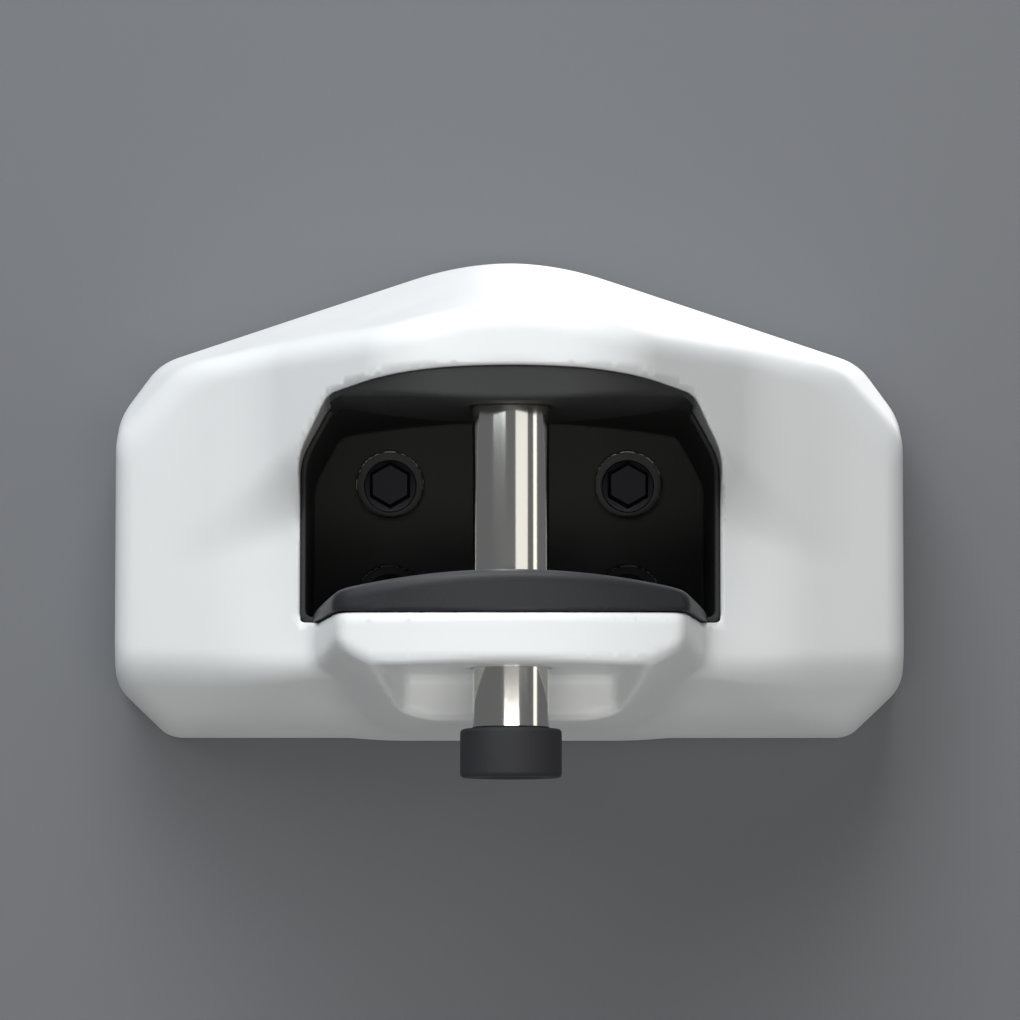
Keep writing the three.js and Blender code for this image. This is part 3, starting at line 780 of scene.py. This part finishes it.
def new_group(name, inputs, outputs):
    """A shader group with its ends: inputs are (label, value), and a four-part value is a colour."""
    group = bpy.data.node_groups.new(name, "ShaderNodeTree")
    for label, value in inputs:
        kind = "NodeSocketColor" if isinstance(value, tuple) else "NodeSocketFloat"
        group.interface.new_socket(label, in_out="INPUT", socket_type=kind).default_value = value
    for label, kind in outputs:
        group.interface.new_socket(label, in_out="OUTPUT", socket_type=kind)
    return group, group.nodes.new("NodeGroupInput"), group.nodes.new("NodeGroupOutput")


def maths(tree, operation, *feeds):
    node = tree.nodes.new("ShaderNodeMath")
    node.operation = operation
    for socket, feed in zip(node.inputs, feeds):
        feed_input(tree, socket, feed)
    return node.outputs[0]


def blended(tree, factor, first, second):
    """Two colours mixed by a factor."""
    node = tree.nodes.new("ShaderNodeMix")
    node.data_type = "RGBA"
    for label, feed in (("Factor", factor), ("A", first), ("B", second)):
        feed_input(tree, node.inputs[label], feed)
    return node.outputs["Result"]


def object_place(tree):
    return tree.nodes.new("ShaderNodeTexCoord").outputs["Object"]


def noise(tree, place, scale, detail):
    return fed(tree, "ShaderNodeTexNoise", Vector=place, Scale=scale, Detail=detail).outputs["Fac"]


def grain_group():
    """Fine moulded grain: a height for bump and a small change of roughness."""
    group, given, result = new_group(
        "moulded_grain",
        [("Scale", 900.0), ("Roughness", 0.4), ("Variation", 0.08)],
        [("Height", "NodeSocketFloat"), ("Roughness", "NodeSocketFloat")],
    )
    place = object_place(group)
    fine = noise(group, place, given.outputs["Scale"], 3)
    broad = noise(group, place, 35, 4)
    centred = maths(group, "SUBTRACT", broad, 0.5)
    changed = maths(group, "MULTIPLY_ADD", centred, given.outputs["Variation"], given.outputs["Roughness"])
    group.links.new(fine, result.inputs["Height"])
    group.links.new(changed, result.inputs["Roughness"])
    return group


def drift_group():
    """A colour that drifts a little over the surface, with sparse fine specks of dust."""
    group, given, result = new_group(
        "colour_drift",
        [
            ("Colour", (0.5, 0.5, 0.5, 1)),
            ("Drifted", (0.4, 0.4, 0.4, 1)),
            ("Dust", (0.3, 0.28, 0.25, 1)),
            ("Amount", 0.3),
            ("Scale", 14.0),
        ],
        [("Colour", "NodeSocketColor")],
    )
    place = object_place(group)
    broad = noise(group, place, given.outputs["Scale"], 5)
    band = fed(group, "ShaderNodeMapRange", Value=broad, From_Min=0.4, From_Max=0.68).outputs["Result"]
    drifting = blended(group, band, given.outputs["Colour"], given.outputs["Drifted"])
    specks = noise(group, place, 420, 2)
    rare = fed(group, "ShaderNodeMapRange", Value=specks, From_Min=0.66, From_Max=0.78).outputs["Result"]
    share = maths(group, "MULTIPLY", rare, given.outputs["Amount"])
    group.links.new(blended(group, share, drifting, given.outputs["Dust"]), result.inputs["Colour"])
    return group


def dust_and_top_light_group():
    """A mask that is strong where the surface faces up, broken up by noise: for dust and rubbed tops, and on
    the dark finishes also for painted top light, paler where light from above falls.
    """
    group, given, result = new_group(
        "dust_and_top_light", [("Start", 0.6), ("Amount", 0.5)], [("Mask", "NodeSocketFloat")]
    )
    surface = group.nodes.new("ShaderNodeNewGeometry")
    parts = fed(group, "ShaderNodeSeparateXYZ", Vector=surface.outputs["Normal"])
    up = fed(group, "ShaderNodeMapRange", Value=parts.outputs["Z"], From_Min=given.outputs["Start"])
    up.interpolation_type = "SMOOTHSTEP"
    patches = noise(group, object_place(group), 60, 6)
    share = fed(group, "ShaderNodeMapRange", Value=patches, From_Min=0.3, From_Max=0.6, To_Min=0.55)
    broken = maths(group, "MULTIPLY", up.outputs["Result"], share.outputs["Result"])
    group.links.new(maths(group, "MULTIPLY", broken, given.outputs["Amount"]), result.inputs["Mask"])
    return group


def lines_group():
    """Polishing lines that run along the pin: a height and a small change of roughness round it."""
    group, given, result = new_group(
        "polishing_lines",
        [("Roughness", 0.12), ("Variation", 0.1), ("Squash", 0.02)],
        [("Height", "NodeSocketFloat"), ("Roughness", "NodeSocketFloat")],
    )
    parts = fed(group, "ShaderNodeSeparateXYZ", Vector=object_place(group)).outputs
    squashed = maths(group, "MULTIPLY", parts["Z"], given.outputs["Squash"])
    drawn_out = fed(group, "ShaderNodeCombineXYZ", X=parts["X"], Y=parts["Y"], Z=squashed).outputs["Vector"]
    lines = noise(group, drawn_out, 1400, 2)
    changed = maths(group, "MULTIPLY_ADD", lines, given.outputs["Variation"], given.outputs["Roughness"])
    group.links.new(lines, result.inputs["Height"])
    group.links.new(changed, result.inputs["Roughness"])
    return group


def group_named(name, maker):
    return bpy.data.node_groups.get(name) or maker()


# ---- Materials ----


def opaque(colour):
    return (*colour, 1.0)


def scaled(colour, factor):
    return tuple(part * factor for part in colour)


def placed_group(tree, group, **values):
    node = tree.nodes.new("ShaderNodeGroup")
    node.node_tree = group
    for label, value in values.items():
        node.inputs[label].default_value = value
    return node.outputs


def coated(name, surface):
    """The material of that name, made with surface(tree, shader) if it isn't there yet."""
    made = bpy.data.materials.get(name)
    if made:
        return made
    made = bpy.data.materials.new(name)
    made.use_nodes = True
    surface(made.node_tree, made.node_tree.nodes["Principled BSDF"])
    return made


def textured(tree, shader, texture, strength, distance):
    """Gives the shader the texture's roughness, and its height as a bump."""
    bump = fed(tree, "ShaderNodeBump", Strength=strength, Distance=distance, Height=texture["Height"])
    tree.links.new(texture["Roughness"], shader.inputs["Roughness"])
    tree.links.new(bump.outputs["Normal"], shader.inputs["Normal"])


def moulded(name, colour, drifted, roughness, grain, bump, top, specular=0.5):
    """A moulded or coated finish with fine grain; top is the colour laid on its upper faces, as (amount,
    colour): dust, and on the dark finishes also painted top light.
    """
    top_dust_and_light_amount, top_dust_and_light_colour = top

    def surface(tree, shader):
        drift = placed_group(
            tree, group_named("colour_drift", drift_group),
            Colour=opaque(colour), Drifted=opaque(drifted), Dust=opaque(top_dust_and_light_colour), Amount=0.05,
        )
        dust_and_top_light_mask = placed_group(
            tree, group_named("dust_and_top_light", dust_and_top_light_group), Start=0.55, Amount=top_dust_and_light_amount
        )
        # Upward faces take the top colour: greyer dust on the white cover, and paler dust with painted top
        # light on the dark finishes.
        top_dust_and_light = blended(tree, dust_and_top_light_mask["Mask"], drift["Colour"], opaque(top_dust_and_light_colour))
        texture = placed_group(
            tree, group_named("moulded_grain", grain_group), Scale=grain, Roughness=roughness, Variation=0.14
        )
        tree.links.new(top_dust_and_light, shader.inputs["Base Color"])
        textured(tree, shader, texture, bump, 0.0002)
        shader.inputs["Specular IOR Level"].default_value = specular

    return coated(name, surface)


def metal(name, colour, roughness, variation, bump, squash=1.0):
    """A bare metal finish with fine texture, drawn out along the pin where squash is small."""

    def surface(tree, shader):
        shader.inputs["Metallic"].default_value = 1.0
        drift = placed_group(
            tree, group_named("colour_drift", drift_group),
            Colour=opaque(colour), Drifted=opaque(scaled(colour, 0.92)), Dust=opaque(scaled(colour, 0.55)),
            Amount=0.2,
        )
        lines = placed_group(
            tree, group_named("polishing_lines", lines_group),
            Roughness=roughness, Variation=variation, Squash=squash,
        )
        tree.links.new(drift["Colour"], shader.inputs["Base Color"])
        textured(tree, shader, lines, bump, 0.0001)

    return coated(name, surface)


def colours():
    return bpy.context.scene.rack_colours


def white_finish():
    colour = tuple(colours().cover)
    top_dust_and_light = (0.12, (0.66, 0.65, 0.62))
    return moulded("satin_white_cover", colour, scaled(colour, 0.975), 0.36, 1500, 0.05, top=top_dust_and_light)


def rubber_finish():
    colour = tuple(colours().rubber)
    # Paler upward faces along the ridge: rubbed rubber and dust, and partly a painted highlight for the light
    # that the ridge catches.
    top_dust_and_light = (0.75, (0.11, 0.115, 0.12))
    return moulded("dull_rubber", colour, scaled(colour, 1.4), 0.48, 1100, 0.25, top=top_dust_and_light, specular=0.4)


def moulding_finish():
    colour = tuple(colours().moulding)
    # Paler upward faces: dust, and partly painted top light.
    top_dust_and_light = (0.2, (0.06, 0.06, 0.058))
    return moulded("black_moulding", colour, scaled(colour, 1.35), 0.5, 1300, 0.2, top=top_dust_and_light)


def cap_finish():
    colour, drifted = (0.006, 0.0065, 0.007), (0.009, 0.0095, 0.01)
    # Paler upward faces: dust, and partly painted top light.
    top_dust_and_light = (0.35, (0.07, 0.07, 0.068))
    return moulded("black_cap", colour, drifted, 0.55, 1500, 0.15, top=top_dust_and_light, specular=0.08)


def coated_steel_finish():
    colour, drifted = (0.03, 0.031, 0.033), (0.04, 0.041, 0.044)
    # Paler upward faces: dust, and partly painted top light.
    top_dust_and_light = (0.2, (0.09, 0.09, 0.088))
    return moulded("powder_coated_steel", colour, drifted, 0.5, 700, 0.4, top=top_dust_and_light)


def polished_finish():
    return metal("polished_steel", tuple(colours().steel), 0.07, 0.1, 0.03, squash=0.02)


def ground_finish():
    return metal("ground_hard_steel", (0.42, 0.43, 0.45), 0.25, 0.2, 0.2)


def zinc_finish():
    return metal("bright_zinc", (0.62, 0.63, 0.64), 0.28, 0.18, 0.15)


def black_zinc_finish():
    return metal("black_zinc", (0.02, 0.021, 0.023), 0.38, 0.15, 0.15)


def brass_finish():
    return metal("machined_brass", (0.70, 0.50, 0.22), 0.22, 0.15, 0.15)


# ---- Operators ----


class RACK_OT_cover(bpy.types.Operator):
    """Make the white cover with its wings, hood, lip and pocket"""

    bl_idname = "rack.make_cover"
    bl_label = "Cover"

    def execute(self, context):
        settings = context.scene.rack_cover
        piece = meshed("white_cover", cover_shape(settings), COVER_LOW, COVER_HIGH, settings.cell)
        finish_piece(piece, "wall_unit", "white_cover", white_finish(), "cover_shell")
        return {"FINISHED"}


class RACK_OT_hood_liner(bpy.types.Operator):
    """Make the black moulding under the hood"""

    bl_idname = "rack.make_hood_liner"
    bl_label = "Hood liner"

    def execute(self, context):
        cell = context.scene.rack_cover.fine_cell
        piece = meshed("hood_moulding", liner_shape, LINER_LOW, LINER_HIGH, cell)
        finish_piece(piece, "wall_unit", "black_moulding", moulding_finish(), "hood_liner")
        return {"FINISHED"}


class RACK_OT_tray(bpy.types.Operator):
    """Make the black tray that lines the recess"""

    bl_idname = "rack.make_tray"
    bl_label = "Recess tray"

    def execute(self, context):
        cell = context.scene.rack_cover.fine_cell * 1.25
        piece = meshed("recess_tray", tray_shape, TRAY_LOW, TRAY_HIGH, cell)
        finish_piece(piece, "wall_unit", "black_moulding", moulding_finish(), "cavity_liner")
        return {"FINISHED"}


class RACK_OT_cradle(bpy.types.Operator):
    """Make the rubber on the lip that the bicycle's tube lies on"""

    bl_idname = "rack.make_cradle"
    bl_label = "Rubber cradle"

    def execute(self, context):
        cell = context.scene.rack_cover.fine_cell
        piece = meshed("rubber_cradle", pad_shape, PAD_LOW, PAD_HIGH, cell)
        finish_piece(piece, "wall_unit", "black_rubber", rubber_finish(), "cradle_pad")
        return {"FINISHED"}


class RACK_OT_pin(bpy.types.Operator):
    """Make the polished pin, its nose and the two holes for the locking balls"""

    bl_idname = "rack.make_pin"
    bl_label = "Locking pin"

    def execute(self, context):
        low, high = PIN_LOW[2], PIN_HIGH[2]
        start = (PIN_BORE_R, (low + high) / 2)
        outline = [start, (PIN_BORE_R, low), (PIN_R, low), (PIN_R, high), (PIN_BORE_R, high), start]
        pin = turned("polished_pin", rounded(outline, 0.5, 4), about_the_pin, 128)
        cut_by(pin, self.ball_holes())
        finish_piece(shaded(pin), "locking_pin", "polished_steel", polished_finish(), "pin_tube")
        base, top = NOSE_LOW[2], NOSE_HIGH[2]
        outer, spigot = (NOSE_HIGH[0] - NOSE_LOW[0]) / 2, PIN_BORE_R - SEAM
        shoulder = high + SEAM
        in_by, down_by = NOSE_CHAMFER
        profile = [(0, base), (spigot, base), (spigot, shoulder), (outer, shoulder)]
        profile += [(outer, top - down_by), (outer - in_by, top), (0, top)]
        nose = turned("pin_tip", rounded(profile, 0.9), about_the_pin, 128)
        finish_piece(nose, "locking_pin", "hardened_steel", ground_finish(), "pin_nose")
        return {"FINISHED"}

    @staticmethod
    def ball_holes():
        """A bar right across the pin that cuts the two holes for the balls."""
        mesh = bpy.data.meshes.new("ball_holes")
        work = bmesh.new()
        radius = BALL_HOLE_R * MM
        bmesh.ops.create_cone(work, cap_ends=True, segments=48, radius1=radius, radius2=radius, depth=0.06)
        for vert in work.verts:
            vert.co = Vector((vert.co.z, vert.co.y - PIN_DEPTH * MM, BALL_Z * MM - vert.co.x))
        bmesh.ops.recalc_face_normals(work, faces=work.faces)
        work.to_mesh(mesh)
        work.free()
        return linked("ball_holes", mesh)


class RACK_OT_cap(bpy.types.Operator):
    """Make the black cap on the pin's lower end"""

    bl_idname = "rack.make_cap"
    bl_label = "Cap"

    def execute(self, context):
        low, high = CAP_LOW[2], CAP_HIGH[2]
        outer, bore = (CAP_HIGH[0] - CAP_LOW[0]) / 2, PIN_BORE_R + 0.1
        wider, deeper = CAP_MOUTH
        start = (bore, (low + high) / 2)
        outline = [start, (bore, low + deeper), (bore + wider, low), (outer, low)]
        outline += [(outer, high), (bore, high), start]
        cap = turned("end_cap", rounded(outline, CAP_ROUNDING), about_the_pin, 128)
        finish_piece(cap, "locking_pin", "black_cap", cap_finish(), "lock_cap")
        return {"FINISHED"}


class RACK_OT_fasteners(bpy.types.Operator):
    """Make the wall bolts, their washers and the cover's screws"""

    bl_idname = "rack.make_fasteners"
    bl_label = "Fasteners"

    def execute(self, context):
        bright, dark = zinc_finish(), black_zinc_finish()
        bolts, washers, screws = (
            [f"{name}_{index}" for index in range(1, 5)]
            for name in ("wall_bolt", "bolt_washer", "cover_screw")
        )
        bolt_places = np.array([box_of(name) for name in bolts])
        screw_places = np.array([box_of(name) for name in screws])
        across, _, height = np.ptp(bolt_places.mean(1), 0)
        head_end = -bolt_places[0][0][1]
        shank = rounded(BOLT_SHANK, 0.6) + [(0, BOLT_SHANK[-1][1])]
        bolt = turned("wall_bolts", shank, about_a_bolt, 32)
        self.add_hex_head(bolt, BOLT_HEAD_BACK, head_end)
        copy_on_rectangle(bolt, across, height, (0, 0, 0), dark)
        finish_piece(bolt, "wall_unit", "black_zinc", dark, *bolts)
        washer = turned("bolt_washers", rounded(WASHER_RING, 0.4, 3), about_a_bolt, 48)
        copy_on_rectangle(washer, across, height, (0, 0, 0), dark)
        finish_piece(washer, "wall_unit", "black_zinc", dark, *washers)
        screw = turned("cover_screws", rounded(SCREW_HEAD + SCREW_SHANK, 0.25, 2), about_a_bolt, 32)
        spots = screw_places.mean(1)
        middle = (0, 0, (spots[:, 2].min() + spots[:, 2].max()) / 2)
        copy_on_rectangle(screw, np.ptp(spots[:, 0]), np.ptp(spots[:, 2]), middle, bright)
        finish_piece(screw, "wall_unit", "zinc_plated_steel", bright, *screws)
        return {"FINISHED"}

    @staticmethod
    def add_hex_head(bolt, start, end):
        """Joins a hex head with a chamfered face to the bolt."""
        work = bmesh.new()
        work.from_mesh(bolt.data)
        outline = ((BOLT_HEAD_R, start), (BOLT_HEAD_R, end - BOLT_HEAD_CHAMFER), (BOLT_HEAD_FACE_R, end))
        rings = [new_ring(work, about_a_bolt, radius, depth, 6, math.pi / 6) for radius, depth in outline]
        made = [work.faces.new(rings[0]), work.faces.new(rings[-1][::-1])]
        made += skinned(work, rings, 6)
        bmesh.ops.recalc_face_normals(work, faces=made)
        work.to_mesh(bolt.data)
        work.free()
        shaded(bolt, 20)


FINISH_OF_SLOT = {
    "black_steel": coated_steel_finish,
    "hardened_steel": ground_finish,
    "black_moulding": moulding_finish,
    "black_rubber": rubber_finish,
    "zinc_plated_steel": zinc_finish,
    "black_zinc": black_zinc_finish,
    "brass": brass_finish,
    "white_cover": white_finish,
    "polished_steel": polished_finish,
    "black_cap": cap_finish,
}


class RACK_OT_finishes(bpy.types.Operator):
    """Give the frame's own plates, brackets and lock parts their finishes"""

    bl_idname = "rack.coat_frame"
    bl_label = "Finishes"

    def execute(self, context):
        slots = {part["node"]: part["material_slot"] for part in frame["record"]["subparts"]}
        for name, node in frame["nodes"].items():
            finish = FINISH_OF_SLOT[slots[name]]()
            node.data.materials.clear()
            node.data.materials.append(finish)
        return {"FINISHED"}


def one_sided(name, colour, roughness, seen_only=False):
    """A plain stage finish, clear from behind; with seen_only it is clear to everything but the camera."""
    made = bpy.data.materials.new(name)
    made.use_nodes = True
    tree = made.node_tree
    shader, result = tree.nodes["Principled BSDF"], tree.nodes["Material Output"]
    shader.inputs["Base Color"].default_value = opaque(colour)
    shader.inputs["Roughness"].default_value = roughness
    clear = tree.nodes.new("ShaderNodeBsdfTransparent")
    factor = tree.nodes.new("ShaderNodeNewGeometry").outputs["Backfacing"]
    if seen_only:
        seen = tree.nodes.new("ShaderNodeLightPath").outputs["Is Camera Ray"]
        factor = maths(tree, "MAXIMUM", maths(tree, "SUBTRACT", 1, seen), factor)
    choice = tree.nodes.new("ShaderNodeMixShader")
    for socket, feed in zip(choice.inputs, (factor, shader.outputs["BSDF"], clear.outputs["BSDF"])):
        tree.links.new(feed, socket)
    tree.links.new(choice.outputs["Shader"], result.inputs["Surface"])
    return made


def stage_plane(name, corners, finish):
    mesh = bpy.data.meshes.new(name)
    mesh.from_pydata(corners, [], [(0, 1, 2, 3)])
    mesh.materials.append(finish)
    linked(name, mesh)


def soft_light(name, place, size, power, colour):
    data = bpy.data.lights.new(name, "AREA")
    data.shape = "RECTANGLE"
    data.size, data.size_y = size
    data.energy = power
    data.color = colour
    light = bpy.data.objects.new(name, data)
    light.location = place
    light.rotation_euler = (Vector(LIGHT_AIM) - Vector(place)).to_track_quat("-Z", "Y").to_euler()
    bpy.context.scene.collection.objects.link(light)


class RACK_OT_stage(bpy.types.Operator):
    """Make the floor, the backdrop, the lights and the camera"""

    bl_idname = "rack.make_stage"
    bl_label = "Stage"

    def execute(self, context):
        settings = context.scene.rack_stage
        reach, floor, behind = STAGE_REACH, -settings.floor_drop, BACKDROP_GAP
        stage_plane(
            "pale_floor",
            [(x, y, floor) for x, y in ((-reach, -reach), (reach, -reach), (reach, reach), (-reach, reach))],
            one_sided("floor_paint", (0.42, 0.42, 0.41), 0.8),
        )
        stage_plane(
            "backdrop",
            [(x, behind, z) for x, z in ((-reach, floor), (reach, floor), (reach, reach), (-reach, reach))],
            one_sided("backdrop_paint", (0.15, 0.155, 0.165), 0.85, seen_only=True),
        )
        for light in LIGHTS:
            soft_light(*light)
        world = bpy.data.worlds.new("soft_studio")
        world.use_nodes = True
        background = world.node_tree.nodes["Background"]
        background.inputs["Color"].default_value = (0.92, 0.95, 1.0, 1)
        background.inputs["Strength"].default_value = 0.15
        context.scene.world = world
        context.scene.view_settings.view_transform = "Standard"
        self.add_camera(context, settings)
        return {"FINISHED"}

    @staticmethod
    def add_camera(context, settings):
        place = Vector((-settings.aside, -settings.distance, -settings.drop))
        data = bpy.data.cameras.new("camera")
        data.sensor_width = SENSOR_WIDTH
        wide = 2 * HALF_WIDTH * MM / RACK_SHARE_OF_WIDTH
        data.angle = 2 * math.atan(wide / 2 / (settings.distance - SHARE_MEASURED_AT))
        camera = bpy.data.objects.new("camera", data)
        camera.location = place
        camera.rotation_euler = (Vector(CAMERA_AIM) - place).to_track_quat("-Z", "Y").to_euler()
        context.scene.collection.objects.link(camera)
        context.scene.camera = camera


class RACK_PT_panel(bpy.types.Panel):
    """The wall rack's pieces and settings"""

    bl_label = "Wall Rack"
    bl_idname = "RACK_PT_panel"
    bl_space_type = "VIEW_3D"
    bl_region_type = "UI"
    bl_category = "Wall Rack"

    def draw(self, context):
        for group in (context.scene.rack_cover, context.scene.rack_colours, context.scene.rack_stage):
            box = self.layout.box()
            for name in group.bl_rna.properties.keys():
                if name not in ("rna_type", "name"):
                    box.prop(group, name)
        for operator in OPERATORS:
            self.layout.operator(operator.bl_idname)


OPERATORS = (
    RACK_OT_finishes,
    RACK_OT_cover,
    RACK_OT_hood_liner,
    RACK_OT_tray,
    RACK_OT_cradle,
    RACK_OT_pin,
    RACK_OT_cap,
    RACK_OT_fasteners,
    RACK_OT_stage,
)
CLASSES = (RackCoverSettings, RackColourSettings, RackStageSettings, *OPERATORS, RACK_PT_panel)


def register():
    for item in CLASSES:
        bpy.utils.register_class(item)
    bpy.types.Scene.rack_cover = bpy.props.PointerProperty(type=RackCoverSettings)
    bpy.types.Scene.rack_colours = bpy.props.PointerProperty(type=RackColourSettings)
    bpy.types.Scene.rack_stage = bpy.props.PointerProperty(type=RackStageSettings)


def unregister():
    del bpy.types.Scene.rack_cover
    del bpy.types.Scene.rack_colours
    del bpy.types.Scene.rack_stage
    for item in reversed(CLASSES):
        bpy.utils.unregister_class(item)


def main():
    register()
    bpy.ops.rack.coat_frame()
    bpy.ops.rack.make_cover()
    bpy.ops.rack.make_hood_liner()
    bpy.ops.rack.make_tray()
    bpy.ops.rack.make_cradle()
    bpy.ops.rack.make_pin()
    bpy.ops.rack.make_cap()
    bpy.ops.rack.make_fasteners()
    bpy.ops.rack.make_stage()


if __name__ == "__main__":
    main()
